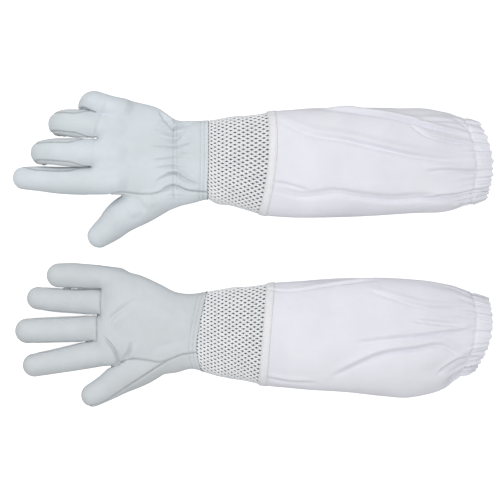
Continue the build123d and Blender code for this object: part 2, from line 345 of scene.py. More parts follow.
# seams of the leather pattern, in plan, the same on both gloves
seams = {
    # palm panel above, thumb front and gusset below
    "palm": [(-140, -39), (-112, -39), (-96, -34), (-86, -28.5), (-66, -28), (-46, -30), (-38, -27),
             (-31, -24), (-15, -21), (8, -20.5)],
    # thumb front above, thumb back below
    "thumb": [(-150, -96), (-134, -80), (-124, -77), (-112, -74), (-96, -64), (-68, -45.5), (-44, -30.5),
              (8, -20)],
    # back panel above, thumb back and gusset below
    "back": [(-140, -39), (-112, -39), (-95, -34.5), (-68, -36), (-51, -34), (-41, -27.5), (-33, -26.5),
             (-26, -30), (-8, -33.5), (8, -34)],
    # thumb below, gusset above: where the thumb's hinge lies, with no seam
    "hinge": [(-140, -34), (-119, -36), (-35, -49.5), (8, -56)],
}


def lineField(name, p):
    x = p[:, 0]
    y = along(seams[name], x)[:, 0]
    rise = (along(seams[name], x + 1)[:, 0] - along(seams[name], x - 1)[:, 0]) / 2
    return (p[:, 1] - y) / np.sqrt(1 + rise**2)


def middleField(hand, p):
    # above or below the middle of the hand's thickness
    s = along(hand["palm"], p[:, 0])
    palm = (s[:, 2] + s[:, 3]) / 2
    spine = hand["spines"]["thumb"]
    near = p[:, 1] < -30
    where = chainField(spine, p[near])[1]
    thumb = np.interp(where, np.arange(len(spine)), spine[:, 2])
    palm[near] += ease(-30, -52, p[near, 1]) * (thumb - palm[near])
    return p[:, 2] - palm


def fingerFields(hand, name, p):
    # how far out from the knuckle, and the two seam fields round the finger
    spine = hand["spines"][name]
    d, where = chainField(spine, p)
    i = np.minimum(where.astype(int), len(spine) - 2)
    f = (where - i)[:, None]
    centre = spine[i, :3] + f * (spine[i + 1, :3] - spine[i, :3])
    tangents = unit(np.gradient(spine[:, :3], axis=0))
    towards = unit(tangents[i] + f * (tangents[i + 1] - tangents[i]))
    heading = unit(spine[6, :3] - spine[0, :3]) * (1, 1, 0)
    side = unit(np.cross((0, 0, 1), heading))
    upward = np.cross(towards, side) * (1 if hand["up"] == "back" else -1)
    rel = p - centre
    w = (rel * upward).sum(1)
    u = rel @ side                      # positive towards the thumb
    outer = {"index": u > 0, "little": u < 0}.get(name, np.zeros(len(p), bool))
    run = np.concatenate([[0], np.cumsum(np.linalg.norm(np.diff(spine[:, :3], axis=0), axis=1))])
    left = run[-1] + 8 - np.interp(where, np.arange(len(run)), run)
    narrow = np.maximum(ease(26, 4, left), ease(skin["baseNarrow"], 0.5, hand["base"][name] - p[:, 0]))
    middle = (skin["backAngle"] + skin["frontAngle"]) / 2
    fields = [d]
    for angle, sign in ((skin["backAngle"], 1), (skin["frontAngle"], -1)):
        turned = np.radians(np.where(outer, skin["openAngle"], angle + 0.92 * narrow * (middle - angle)))
        fields.append(sign * (w * np.sin(turned) - np.abs(u) * np.cos(turned)))
    return fields


labelNames = []
for finger in fingerNames:
    labelNames += [f"{finger}_back", f"{finger}_front", f"{finger}_fourchette"]
labelNames += ["thumb_back", "thumb_front", "back_panel", "palm_panel", "thumb_gusset"]
labelOf = {name: n for n, name in enumerate(labelNames)}


# labels of faces that are still to be cut up: fingers count on from the first
uncut = {"finger": 100, "palmSide": 200, "backSide": 201, "thumbSide": 202}


def onlyAt(points, faces, fieldsOf):
    # fields worked out only on the points of these faces
    used = np.unique(faces)
    found = fieldsOf(points[used])
    out = np.ones((len(found), len(points)))
    out[:, used] = found
    return out


def fieldMean(field, faces):
    return field[faces].mean(1)


def cuffEdge(side, p):
    # x of the leather's end, further back on the upper side
    return -ease(6, 26, p[:, 2]) * along(hands[side]["cuff"], p[:, 1])[:, 0]


def cutHand(side, points, faces):
    hand = hands[side]
    labels = np.full(len(faces), -1)

    # the cuff
    inside = cuffEdge(side, points) - points[:, 0]
    points, faces, labels = cutAlong(points, faces, labels, inside, np.ones(len(faces), bool))
    keep = fieldMean(cuffEdge(side, points) - points[:, 0], faces) > 0
    faces, labels = faces[keep], labels[keep]

    # knuckles, then the three pieces of each finger
    for name in fingerNames:
        base = hand["base"][name]

        def owned(p):
            mine = p[:, 0] < -100
            near = np.array([chainField(hand["spines"][other], p[mine])[0] for other in fingerNames])
            mine[mine] = np.abs(near).argmin(0) == fingerNames.index(name)
            return mine

        out = base - points[:, 0]
        active = owned(points[faces].mean(1)) & (np.abs(points[faces, 0].mean(1) - base) < 4)
        active &= ~(lineField("palm", points)[faces].max(1) < -4)
        points, faces, labels = cutAlong(points, faces, labels, out, active)
        centres = points[faces].mean(1)
        mine = (centres[:, 0] < base) & (labels < 0) & owned(centres) & (centres[:, 1] > -50)
        labels[mine] = uncut["finger"] + fingerNames.index(name)
    for k, name in enumerate(fingerNames):
        whole = uncut["finger"] + k

        def fieldsOf(p):
            return fingerFields(hand, name, p)

        for part, pick in (("back", 1), ("front", 2)):
            field = onlyAt(points, faces[labels == whole], fieldsOf)[pick]
            points, faces, labels = cutAlong(points, faces, labels, field, labels == whole)
            field = onlyAt(points, faces[labels == whole], fieldsOf)[pick]
            mine = (labels == whole) & (fieldMean(field, faces) > 0)
            labels[mine] = labelOf[f"{name}_{part}"]
        labels[labels == whole] = labelOf[f"{name}_fourchette"]

    # back and palm halves, then the seams on each
    points, faces, labels = cutAlong(points, faces, labels, middleField(hand, points), labels < 0)
    above = (fieldMean(middleField(hand, points), faces) > 0) == (hand["up"] == "front")
    loose = labels < 0
    labels[loose & above] = uncut["palmSide"]
    labels[loose & ~above] = uncut["backSide"]
    # side of the hand, seam, piece beyond it, what stays: each seam in turn
    for line, whole, beyond, rest in (("palm", "palmSide", "palm_panel", None),
                                      ("thumb", "palmSide", "thumb_front", "thumbSide"),
                                      ("back", "backSide", "back_panel", "thumbSide"),
                                      ("hinge", "thumbSide", "thumb_gusset", None)):
        inside = labels == uncut[whole]
        points, faces, labels = cutAlong(points, faces, labels, lineField(line, points), inside)
        over = fieldMean(lineField(line, points), faces) > 0
        if line == "thumb":
            over &= points[faces, 0].mean(1) < -44     # the thumb's front piece ends here
        labels[(labels == uncut[whole]) & over] = labelOf[beyond]
        if rest:
            labels[labels == uncut[whole]] = uncut[rest]
    labels[labels == uncut["thumbSide"]] = labelOf["thumb_back"]
    return points, faces, labels


def buildSkin(side):
    hand = hands[side]
    hand["spines"] = {name: through(hand[name], skin["spineSteps"]) for name in fingerNames + ("thumb",)}
    step = skin["step"]
    low = np.array(skin["low"])
    axes = [np.arange(a, b, step) for a, b in zip(low, skin["high"])]
    grid = np.stack(np.meshgrid(*axes, indexing="ij"), -1).reshape(-1, 3)
    field = handField(hand, grid).reshape([len(a) for a in axes])
    points, quads = netOf(field, low, step)
    points = settle(points, lambda p: handField(hand, p), 2)
    faces = trianglesOf(points, quads)
    points = relax(points, faces, 2, 0.35)
    return points, faces


def meshFrom(name, points, faces):
    mesh = bpy.data.meshes.new(name)
    mesh.vertices.add(len(points))
    mesh.vertices.foreach_set("co", np.asarray(points, np.float32).ravel())
    faces = np.asarray(faces)
    mesh.loops.add(faces.size)
    mesh.polygons.add(len(faces))
    mesh.polygons.foreach_set("loop_start", np.arange(len(faces)) * faces.shape[1])
    mesh.loops.foreach_set("vertex_index", faces.ravel())
    mesh.update()
    mesh.polygons.foreach_set("use_smooth", np.ones(len(faces), bool))
    return mesh


def walled(points, faces, normals, thickness):
    # a sheet with thickness: the outer face, the inner face and a rim
    n = len(points)
    inner = points - normals * thickness
    pairs = np.stack([faces, np.roll(faces, -1, axis=1)], 2).reshape(-1, 2)
    keys = pairs[:, 0] * n + pairs[:, 1]
    other = pairs[:, 1] * n + pairs[:, 0]
    rim = pairs[~np.isin(keys, other)]
    a, b = rim.T
    sides = np.concatenate([np.stack([b, a, a + n], 1), np.stack([b, a + n, b + n], 1)])
    allFaces = np.concatenate([faces, faces[:, ::-1] + n, sides])
    return np.concatenate([points, inner]), allFaces, np.concatenate([normals, -normals])


def piece(side, name, points, faces, normals, material):
    mesh = meshFrom(name, place(side, points), faces)
    mesh.normals_split_custom_set_from_vertices([tuple(n) for n in normals])
    mesh.materials.append(material)
    obj = bpy.data.objects.new(name, mesh)
    bpy.context.scene.collection.objects.link(obj)
    return obj


def onlyUsed(points, faces, *extra):
    used, again = np.unique(faces, return_inverse=True)
    return (points[used], again.reshape(faces.shape)) + tuple(e[used] for e in extra)


# Folds and creases are lines in plan with a depth and a width.

def creaseDrop(p, crease, strength, samples=28):
    # how far the surface sinks along a line, deepest at its middle, with a soft roll beside it
    line, depth, width, roll = crease
    depth, width, roll = strength["depth"] * depth, strength["width"] * width, strength["roll"] * roll
    run = through(line, samples)
    best = np.full(len(p), 1e3)
    where = np.zeros(len(p))
    aside = np.zeros(len(p))
    near = ((p[:, :2] > run.min(0) - 5 * width) & (p[:, :2] < run.max(0) + 5 * width)).all(1)
    q = p[near, :2]
    bestNear, whereNear, asideNear = best[near], where[near], aside[near]
    for n, (a, b) in enumerate(zip(run[:-1], run[1:])):
        ab = b - a
        t = np.clip((q - a) @ ab / (ab @ ab), 0, 1)
        off = q - a - t[:, None] * ab
        d = np.linalg.norm(off, axis=1)
        closer = d < bestNear
        bestNear[closer] = d[closer]
        whereNear[closer] = (n + t[closer]) / (samples - 1)
        asideNear[closer] = np.sign(ab[0] * off[closer, 1] - ab[1] * off[closer, 0])
    best[near], where[near], aside[near] = bestNear, whereNear, asideNear
    taper = np.sin(pi * np.clip(where, 0.02, 0.98)) ** 0.7
    signed = best * aside
    drop = -depth * np.exp(-(best / width) ** 2)
    bulge = roll * np.exp(-((signed - 2.1 * width) / (1.7 * width)) ** 2)
    return (drop + bulge) * taper


# line, depth, width, roll on the line's left
handCreases = {
    "right": [
        ([(-50, 49), (-37, 33.5), (-32, 33.5), (-13, 39.5)], 4.0, 1.9, 2.0),
        ([(-55, 32), (-37, 25), (-21, 28)], 2.2, 1.4, 1.3),
        ([(-49, 21.5), (-35, 18.5), (-25, 24)], 2.0, 1.3, 1.2),
        ([(-59, 13), (-34.5, 12), (-16, 16.5)], 1.7, 1.4, 1.1),
        ([(-33.5, 7.5), (-20, 5)], 1.5, 1.3, 0.9),
        ([(-57.5, -1.5), (-37, 1), (-25, 1)], 1.5, 1.3, 0.9),
        ([(-54, -9.5), (-36, -7.5), (-24, -10.5)], 1.8, 1.3, 1.0),
        ([(-51, -21), (-39, -15.3), (-32, -15.3), (-22.5, -22), (-10.5, -27)], 3.8, 1.6, 2.0),
        ([(-58, -37), (-47, -34.5), (-37, -29), (-32, -29), (-21, -33.5), (-8, -33.5)], 2.2, 1.5, 1.8),
        ([(-52, 42), (-36, 38.5), (-18, 42)], 1.0, 1.6, 0.5),
        ([(-76, -40), (-64, -55)], 1.6, 5.0, 1.2),
        ([(-88, -48), (-80, -62), (-66, -56)], 0.7, 4.0, 0.0),
        ([(-99, 66), (-107, 52), (-116, 24), (-118, -4)], 0.9, 3.2, 0.0),
    ],
    "left": [
        ([(-108, -5), (-98, -17.5), (-93, -33)], 3.6, 1.5, 1.4),
        ([(-80.5, -10), (-83, -20.7), (-90, -29)], 2.4, 1.8, 1.0),
        ([(-73, 36), (-98, 18), (-105, 7.5)], 1.8, 3.4, 1.0),
        ([(-74, -6), (-80, -18), (-86, -27)], 0.8, 2.4, 0.4),
        ([(-146, 24), (-144, 33), (-147, 42)], 0.5, 2.2, 0.0),
        ([(-138, 24), (-136, 33), (-138, 42)], 0.45, 2.0, 0.0),
        ([(-92, 30), (-78, 10), (-64, -4)], 0.6, 7.0, 0.0),
        ([(-60, -20), (-44, -12), (-24, -8)], 0.7, 5.0, 0.0),
        ([(-50, 30), (-34, 24), (-18, 26)], 0.8, 4.0, 0.3),
    ],
}

# how strongly the drawn lines are pressed in, on leather and on canvas
creased = {"depth": 1.3, "width": 0.8, "roll": 1.1}
folded = {"depth": 1.5, "width": 0.62, "roll": 1.5}

cuffRows = (-7.8, -3.8)
wristElastic = {"x": -34.5, "half": 3.6, "rows": (-36.4, -32.6), "low": -31, "high": 37}
seamed = {"groove": 0.85, "grooveWidth": 1.15, "roll": 0.18, "rollAt": 2.6}


def seamPairs():
    # pairs of neighbours in one piece of leather or on a hidden edge, which show no seam
    plain = [(f"{f}_back", "back_panel") for f in fingerNames]
    plain += [("index_front", "palm_panel"), ("little_front", "palm_panel"), ("thumb_back", "thumb_gusset")]
    plain += [(f"{f}_fourchette", panel) for f in fingerNames for panel in ("back_panel", "palm_panel")]
    return {tuple(sorted((labelOf[a], labelOf[b]))) for a, b in plain}


def seamPoints(points, faces, labels):
    # points along every edge where two pieces of leather are sewn together
    n = len(points)
    ends = np.stack([faces, np.roll(faces, -1, axis=1)], 2).reshape(-1, 2)
    key = ends.min(1) * n + ends.max(1)
    owner = np.repeat(labels, 3)
    order = np.argsort(key, kind="stable")
    key, owner = key[order], owner[order]
    same = np.flatnonzero(key[:-1] == key[1:])
    one, two = owner[same], owner[same + 1]
    plain = seamPairs()
    sewn = [k for k, a, b in zip(key[same], one, two) if a != b and tuple(sorted((a, b))) not in plain]
    sewn = np.array(sewn)
    a, b = points[sewn // n], points[sewn % n]
    return np.concatenate([a, b, (a + b) / 2])


def nearest(places, p, reach):
    tree = KDTree(len(places))
    for k, corner in enumerate(places):
        tree.insert(corner, k)
    tree.balance()
    low, high = places.min(0) - reach, places.max(0) + reach
    near = ((p > low) & (p < high)).all(1)
    out = np.full(len(p), 1e3)
    out[near] = [tree.find(q)[2] for q in p[near]]
    return out


def dressSkin(side, points, faces, labels):
    # seam grooves, creases and gathers, all along the surface's own direction
    hand = hands[side]
    normals = pointNormals(points, faces)
    sewn = nearest(seamPoints(points, faces, labels), points, 6.0)
    groove, width = seamed["groove"], seamed["grooveWidth"]
    move = -groove * np.exp(-(sewn / width) ** 2)
    move += seamed["roll"] * np.exp(-((sewn - seamed["rollAt"]) / 1.3) ** 2)
    top = ease(0.05, 0.45, normals[:, 2])
    for crease in handCreases[side]:
        move += top * creaseDrop(points, crease, creased)
    # the elastic at the wrist draws the back of the hand together
    backWay = normals[:, 2] * (1 if hand["up"] == "back" else -1)
    backSide = ease(-0.1, 0.5, backWay)
    y = points[:, 1]
    ripple = np.sin(y * 1.05 + 1.3 * np.sin(y * 0.31)) * 0.3 + np.sin(y * 1.9 + 0.7) * 0.13
    fromElastic = points[:, 0] - wristElastic["x"]
    spread = np.exp(-(fromElastic / 9.0) ** 2)
    fade = ease(-44, -38, y) * ease(42, 36, y)
    move += backSide * spread * fade * ripple
    move -= 0.7 * backSide * np.exp(-(fromElastic / 1.6) ** 2) * fade
    # two stitched rows hold the turned cuff
    fromEdge = points[:, 0] - cuffEdge(side, points)
    for row in cuffRows:
        move -= 0.55 * np.exp(-((fromEdge - row) / 0.85) ** 2)
    floor = ease(0.0, 2.5, points[:, 2])
    points = points + normals * (move * (0.25 + 0.75 * floor))[:, None]
    points[:, 2] = np.maximum(points[:, 2], 0.05)
    return relax(points, faces, 1, 0.12)


# mesh cuff and canvas gauntlet share one outline: x, low y, high y, bottom, top
sleeves = {
    "right": {
        "outline": [(-20, -46, 41, 3.5, 36.3), (-12, -44.6, 41, 1.6, 35.3), (0, -41.5, 42.3, 0, 34),
                    (8, -45.8, 43.3, 0, 35.5), (25, -48.2, 46.4, 0, 38.5),
                    (42, -52.6, 47.6, 0, 41.5), (63, -58, 51, 0, 46), (84, -59.8, 52.6, 0, 50),
                    (113, -60.8, 53.8, 0, 54),
                    (160, -59.3, 54.8, 0, 56), (200, -57.2, 53.8, 0, 55), (227, -55.6, 52.6, 0, 52),
                    (243, -54.4, 49.8, 0, 49), (260, -50.6, 47.4, 0, 45), (272, -46.2, 44, 0, 42),
                    (284, -43, 41.4, 0, 39), (297, -40, 39, 0, 37)],
        "seamSlant": 0.077,           # how far the mesh seam leans across the glove
        "seamBow": 6.0,
        "netStart": -5.0,
        "mouth": (-8, 13.5),          # y of the furthest point, how far the corners fall back
        "folds": [
            ([(110, 53), (141, 51), (181, 44.5), (209, 39), (242, 30), (268, 25)], 2.8, 2.3, 2.6),
            ([(207, 39), (239, 40.5), (260, 38), (274, 30)], 1.6, 2.2, 1.2),
            ([(209, 37), (225, 25), (251, 18), (274, 14.5), (286, 7.6)], 2.0, 2.3, 1.4),
            ([(75, 39), (107, 25), (141, 19), (176, 11), (207, 4), (242, -1), (281, -2)], 2.6, 4.2, 1.8),
            ([(227, -13), (251, -11.7), (284, -15)], 1.7, 2.6, 1.0),
            ([(68, -32.6), (91, -39.5), (108, -40.3), (131, -37), (155, -40.3), (190, -44), (225, -41.3),
              (251, -43), (267, -44.7)], 3.0, 2.7, -2.4),
            ([(225, -43), (246, -38), (268, -35)], 1.7, 2.2, 1.2),
            ([(66, -24), (84, -27), (104, -33)], 1.2, 3.0, 0.8),
        ],
        "knot": (276, -42),
    },
    "left": {
        "outline": [(-20, -38.2, 40.9, 0, 33.6), (-12, -39.6, 41.6, 0, 33.6), (0, -43.3, 43.7, 0, 34),
                    (8, -45.5, 44.8, 0, 35.5), (25, -48.8, 48, 0, 38.5),
                    (42, -51, 49, 0, 41.5), (63, -55.2, 52.2, 0, 46), (92, -58, 54.2, 0, 51),
                    (134, -61.4, 56.4, 0, 55),
                    (185, -66.6, 57.4, 0, 56), (210, -67.6, 56.4, 0, 54), (227, -64.6, 55, 0, 52),
                    (243, -60.4, 52.2, 0, 49), (260, -55.6, 48.4, 0, 45), (272, -49.4, 43.6, 0, 42),
                    (284, -43, 38, 0, 39), (297, -39, 34, 0, 37)],
        "seamSlant": 0.081,
        "seamBow": 0.0,
        "netStart": -18.0,
        "mouth": (14, 14),
        "folds": [
            ([(61, 45), (89, 44), (120, 48.5), (155, 53.5), (181, 56)], 1.2, 1.5, 0.8),
            ([(169, 44), (195, 35.5), (225, 27.5), (251, 25.7), (277, 24)], 1.8, 2.8, 1.2),
            ([(212, 13), (225, 11), (246, 9), (267, 6.6)], 2.2, 1.6, -2.2),
            ([(155, -9), (190, -5), (225, -2), (251, 1), (277, 5)], 2.2, 3.0, 1.6),
            ([(131, -44), (155, -32), (181, -21), (216, -16), (242, -12.6), (260, -23)], 2.8, 3.6, 2.0),
            ([(239, -42), (260, -28), (282, -24)], 2.0, 2.4, 1.2),
            ([(61, -46.5), (86, -51), (112, -52)], 1.2, 2.6, 0.8),
            ([(262, -50), (277, -40)], 1.6, 2.0, 1.0),
            ([(100, 30), (140, 22), (170, 24)], 0.9, 6.0, 0.0),
        ],
        "knot": (276, -36),
    },
}

sleeve = {
    "meshEnd": 58.7, "bandStart": 57.5, "bandEnd": 65.5, "length": 297.0, "casing": 17.0,
    "upper": 2.25, "lower": 3.4, "canvas": 0.6, "around": 300, "gathers": 34,
}


def sectionPoint(rows, turn, inset=0.0, x=100.0):
    # a place round the tube, turn from 0 to 1 counted from the little finger's side over the top
    wide, tall = (rows[:, 1] - rows[:, 0]) / 2 - inset, (rows[:, 3] - rows[:, 2]) / 2 - inset
    angle = turn * 2 * pi
    c, s = np.cos(angle), np.sin(angle)
    fresh = ease(0, 30, x)
    power = skin["power"]
    n = power + fresh * (np.where(s > 0, sleeve["upper"], sleeve["lower"]) - power)
    y = (rows[:, 0] + rows[:, 1]) / 2 + wide * np.sign(c) * np.abs(c) ** (2 / n)
    z = (rows[:, 2] + rows[:, 3]) / 2 + tall * np.sign(s) * np.abs(s) ** (2 / n)
    return y, z


def evenTurns(outline, x, count):
    # turns that are evenly spaced along the section at x
    t = np.linspace(0, 1, 1441)
    rows = np.repeat(along(outline, [x]), len(t), axis=0)
    y, z = sectionPoint(rows, t, 0.0, x)
    run = np.concatenate([[0], np.cumsum(np.hypot(np.diff(y), np.diff(z)))])
    return np.interp(np.linspace(0, run[-1], count, endpoint=False), run, t), run[-1]


def tube(side, x, turn, inset=0.0):
    # the plain surface of the sleeve at x and turn, with the open end rounded in plan
    glove = sleeves[side]
    x, turn = np.broadcast_arrays(np.asarray(x, float), np.asarray(turn, float))
    rows = along(glove["outline"], x)
    y, z = sectionPoint(rows, turn, inset, x)
    middle, fall = glove["mouth"]
    back = fall * ((y - middle) / 48) ** 2 * ease(235, 297, x)
    bow = glove["seamBow"] * (1 - (y / 57) ** 2) * ease(5, 40, z)
    lean = (glove["seamSlant"] * y + bow) * ease(5, 57, x) * ease(130, 66, x)
    return np.stack([x - back + lean, y, z], 1)


def ringMesh(side, xs, turns):
    grid = np.stack(np.meshgrid(xs, turns, indexing="ij"), -1).reshape(-1, 2)
    points = tube(side, grid[:, 0], grid[:, 1])
    rows, columns = len(xs), len(turns)
    i, j = np.meshgrid(np.arange(rows - 1), np.arange(columns), indexing="ij")
    a = i * columns + j
    b = i * columns + (j + 1) % columns
    c, d = b + columns, a + columns
    faces = np.stack([a, b, c, d], -1).reshape(-1, 4)
    return points, faces, grid


def foldMoves(side, points, normals, grid):
    # long folds on the upper side, softer ones below, and the gathers at the elastic
    glove = sleeves[side]
    top = ease(-0.05, 0.35, normals[:, 2])
    move = np.zeros(len(points))
    for crease in glove["folds"]:
        move += top * creaseDrop(points, crease, folded)
    x, turn = grid.T
    seed = 0.0 if side == "right" else 2.1
    soft = np.sin(x * 0.047 + 9 * turn + seed) * np.sin(turn * 25 + x * 0.02 + seed)
    move += 0.7 * soft * ease(66, 110, x) * ease(290, 240, x)
    # gathers fan out from the elastic
    waves = turn * 2 * pi * sleeve["gathers"]
    wander = 2.2 * np.sin(turn * 19 + seed) + 1.3 * np.sin(turn * 47 + 1 + seed)
    near = ease(246, 281, x)
    gather = np.sin(waves + wander) * 0.75 + np.sin(waves * 0.51 + 1.7 * wander) * 0.9
    move += near * gather * (1.0 + 0.35 * np.sin(turn * 31 + seed))
    longWave = np.sin(waves * 0.27 + wander * 0.8 + seed) * ease(196, 262, x) * ease(300, 275, x)
    move += 1.1 * longWave
    # the casing puffs out past its sewing line and puckers between the stitches
    fromSewing = x - (sleeve["length"] - sleeve["casing"])
    pucker = np.sin(waves * 1.93 + wander) * 0.5 + np.sin(waves * 1.37 - 1.4 * wander) * 0.45
    move += 0.75 * pucker * ease(-7, 1, fromSewing)
    puff = 0.9 * np.sin(pi * np.clip(fromSewing / sleeve["casing"], 0, 1))
    move += puff - 1.1 * np.exp(-(fromSewing / 1.5) ** 2)
    # the ends of the elastic bunch the cloth at the thumb's side
    fromKnot = np.hypot(*(points[:, :2] - glove["knot"]).T)
    knot = np.exp(-(fromKnot / 6.5) ** 2) * ease(0.0, 0.3, normals[:, 2])
    move += knot * (1.2 + 1.1 * np.sin(1.5 * points[:, 0] + 0.9 * points[:, 1]))
    sides = ease(0.0, 6.0, points[:, 2])
    return move * (0.15 + 0.85 * sides)


def keepOff(points, low=0.05):
    points[:, 2] = np.where(points[:, 2] < low, low, points[:, 2])
    return points


def triangles(quads):
    return np.concatenate([quads[:, [0, 1, 2]], quads[:, [0, 2, 3]]])


def canvasSurface(side, xs, turns, inset=0.0):
    points, faces, grid = ringMesh(side, xs, turns)
    normals = pointNormals(points, triangles(faces))
    move = foldMoves(side, points, normals, grid)
    points = points + normals * move[:, None]
    x, turn = grid.T
    scallop = np.sin(turn * 2 * pi * sleeve["gathers"] + 2.2 * np.sin(turn * 19)) + 0.6 * np.sin(turn * 131)
    points[:, 0] += 0.7 * scallop * ease(sleeve["length"] - 9, sleeve["length"], x)
    faces = triangles(faces)
    normals = pointNormals(points, faces)
    points = keepOff(points - normals * inset, 0.05 + inset)
    return points, faces, pointNormals(points, faces), grid


# Node trees make what repeats: net strands and stitches.

def growingTree(name, **inputs):
    # a tree that turns wires into curves, with the sockets that its user fills in
    tree = bpy.data.node_groups.new(name, "GeometryNodeTree")
    for label, kind in {"Geometry": "Geometry", **inputs, "Material": "Material"}.items():
        tree.interface.new_socket(label, in_out="INPUT", socket_type="NodeSocket" + kind)
    tree.interface.new_socket("Geometry", in_out="OUTPUT", socket_type="NodeSocketGeometry")
    given = tree.nodes.new("NodeGroupInput").outputs
    curve = tree.nodes.new("GeometryNodeMeshToCurve")
    tree.links.new(given["Geometry"], curve.inputs["Mesh"])
    return tree, given, curve.outputs["Curve"]


def endTree(tree, given, made):
    # real geometry with its material, as the tree's result
    real = tree.nodes.new("GeometryNodeRealizeInstances")
    paint = tree.nodes.new("GeometryNodeSetMaterial")
    out = tree.nodes.new("NodeGroupOutput")
    tree.links.new(made, real.inputs["Geometry"])
    tree.links.new(real.outputs["Geometry"], paint.inputs["Geometry"])
    tree.links.new(given["Material"], paint.inputs["Material"])
    tree.links.new(paint.outputs["Geometry"], out.inputs["Geometry"])
    return tree


def strandTree():
    # round strands along the wires
    tree, given, wires = growingTree("strands", Thickness="Float", Sides="Int")
    profile = tree.nodes.new("GeometryNodeCurvePrimitiveCircle")
    skinned = plainNode(tree, "GeometryNodeCurveToMesh", {"Fill Caps": True})
    half = mathNode(tree, "MULTIPLY", given["Thickness"], 0.5)
    tree.links.new(half, profile.inputs["Radius"])
    tree.links.new(given["Sides"], profile.inputs["Resolution"])
    tree.links.new(wires, skinned.inputs["Curve"])
    tree.links.new(profile.outputs["Curve"], skinned.inputs["Profile Curve"])
    return endTree(tree, given, skinned.outputs["Mesh"])


def stitchTree():
    # short rounded thread stitches laid end to end along the wires
    tree, given, wires = growingTree("stitches", Pitch="Float", Length="Float", Thickness="Float", Seed="Int")
    spaced = plainNode(tree, "GeometryNodeResampleCurve", {}, mode="LENGTH")
    ball = plainNode(tree, "GeometryNodeMeshUVSphere", {"Segments": 6, "Rings": 5, "Radius": 0.5})
    size = tree.nodes.new("ShaderNodeCombineXYZ")
    tangent = tree.nodes.new("GeometryNodeInputTangent")
    aim = plainNode(tree, "FunctionNodeAlignRotationToVector", {}, axis="Z")
    vary = plainNode(tree, "FunctionNodeRandomValue", {2: 0.85, 3: 1.1})
    laid = tree.nodes.new("GeometryNodeInstanceOnPoints")
    grown = tree.nodes.new("GeometryNodeScaleInstances")
    for out, into in ((wires, spaced.inputs["Curve"]), (given["Pitch"], spaced.inputs["Length"]),
                      (spaced.outputs["Curve"], laid.inputs["Points"]),
                      (ball.outputs["Mesh"], laid.inputs["Instance"]),
                      (tangent.outputs["Tangent"], aim.inputs["Vector"]),
                      (aim.outputs["Rotation"], laid.inputs["Rotation"]),
                      (given["Thickness"], size.inputs["X"]), (given["Thickness"], size.inputs["Y"]),
                      (given["Length"], size.inputs["Z"]), (size.outputs["Vector"], laid.inputs["Scale"]),
                      (given["Seed"], vary.inputs["Seed"]),
                      (laid.outputs["Instances"], grown.inputs["Instances"]),
                      (vary.outputs[1], grown.inputs["Scale"])):
        tree.links.new(out, into)
    return endTree(tree, given, grown.outputs["Instances"])


def grownFrom(side, name, paths, tree, settings, closed=False):
    # runs a node tree on wires and keeps the plain mesh that it makes
    verts, edges = [], []
    for path in paths:
        first = sum(len(v) for v in verts)
        verts.append(place(side, path))
        steps = np.arange(len(path) - (0 if closed else 1))
        edges.append(np.stack([first + steps, first + (steps + 1) % len(path)], 1))
    verts, edges = np.concatenate(verts), np.concatenate(edges)
    wire = bpy.data.meshes.new(name + "_wire")
    wire.from_pydata(verts.tolist(), edges.tolist(), [])
    obj = bpy.data.objects.new(name, wire)
    bpy.context.scene.collection.objects.link(obj)
    modifier = obj.modifiers.new("grow", "NODES")
    modifier.node_group = tree
    for item in tree.interface.items_tree:
        if item.item_type == "SOCKET" and item.in_out == "INPUT" and item.name in settings:
            modifier[item.identifier] = settings[item.name]
    depsgraph = bpy.context.evaluated_depsgraph_get()
    mesh = bpy.data.meshes.new_from_object(obj.evaluated_get(depsgraph))
    obj.modifiers.remove(modifier)
    obj.data = mesh
    mesh.polygons.foreach_set("use_smooth", np.ones(len(mesh.polygons), bool))
    return obj


def shaderGroup(name, **inputs):
    # a group that gives a colour, a height for the bump and a roughness
    group = bpy.data.node_groups.new(name, "ShaderNodeTree")
    for label, value in inputs.items():
        kind = "NodeSocketColor" if isinstance(value, tuple) else "NodeSocketFloat"
        socket = group.interface.new_socket(label, in_out="INPUT", socket_type=kind)
        socket.default_value = (*value, 1) if isinstance(value, tuple) else value
    for label, kind in (("Color", "Color"), ("Height", "Float"), ("Roughness", "Float")):
        group.interface.new_socket(label, in_out="OUTPUT", socket_type="NodeSocket" + kind)
    return group, group.nodes.new("NodeGroupInput"), group.nodes.new("NodeGroupOutput")


def plainNode(tree, kind, values, **options):
    # a node with some of its sockets and settings filled in
    node = tree.nodes.new(kind)
    for label, value in options.items():
        setattr(node, label, value)
    for label, value in values.items():
        node.inputs[label].default_value = value
    return node


def noiseNode(tree, vector, scale, detail, rough=0.5):
    noise = tree.nodes.new("ShaderNodeTexNoise")
    noise.inputs["Scale"].default_value = scale
    noise.inputs["Detail"].default_value = detail
    noise.inputs["Roughness"].default_value = rough
    tree.links.new(vector, noise.inputs["Vector"])
    return noise.outputs["Fac"]


def mathNode(tree, kind, a, b=None, c=None):
    node = tree.nodes.new("ShaderNodeMath")
    node.operation = kind
    for socket, value in zip(node.inputs, (a, b, c)):
        if isinstance(value, (int, float)):
            socket.default_value = value
        elif value is not None:
            tree.links.new(value, socket)
    return node.outputs[0]


def rangeNode(tree, value, a, b, low, high):
    node = tree.nodes.new("ShaderNodeMapRange")
    tree.links.new(value, node.inputs["Value"])
    for label, limit in (("From Min", a), ("From Max", b), ("To Min", low), ("To Max", high)):
        node.inputs[label].default_value = limit
    return node.outputs["Result"]


def mixNode(tree, factor, a, b):
    node = tree.nodes.new("ShaderNodeMix")
    node.data_type = "RGBA"
    tree.links.new(factor, node.inputs["Factor"])
    for socket, value in ((node.inputs["A"], a), (node.inputs["B"], b)):
        if isinstance(value, tuple):
            socket.default_value = (*value, 1)
        else:
            tree.links.new(value, socket)
    return node.outputs["Result"]


